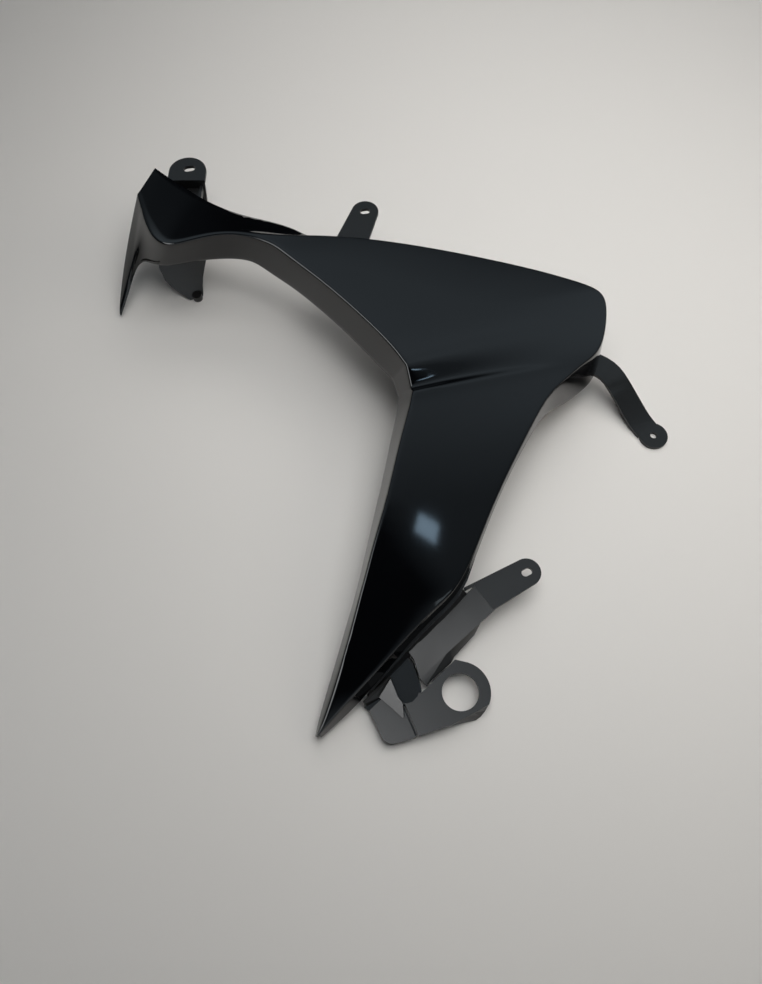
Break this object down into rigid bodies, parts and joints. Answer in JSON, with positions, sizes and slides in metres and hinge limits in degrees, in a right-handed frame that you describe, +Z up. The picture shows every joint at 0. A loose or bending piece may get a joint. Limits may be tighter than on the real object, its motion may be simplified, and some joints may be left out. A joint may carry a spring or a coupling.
{
  "type": "motorcycle side fairing",
  "caption": "Gloss black motorcycle side fairing: a lofted cover with a stepped wing and claw on matt inner mouldings, with slotted tabs, a rear arm and a lower ring bracket.",
  "frame": {"origin": "on the surface that the fairing lies on, under the middle of its box", "axes": "+Z up from the surface, outer face up; +Y from the tip of the leg towards the sail's upper edge; +X from the claw towards the rear arm"},
  "size_m": [0.5044, 0.5316, 0.0907],
  "materials": {
    "gloss_black": "clear gloss over black",
    "matt_black": "fine moulded grain",
    "screw_steel": "zinc plated"
  },
  "bodies": {
    "root": {"outer_cover": "gloss_black", "front_inner_panel": "matt_black", "rear_inner_panel": "matt_black", "lower_bracket": "matt_black", "panel_screws": "screw_steel"}
  },
  "joints": []
}
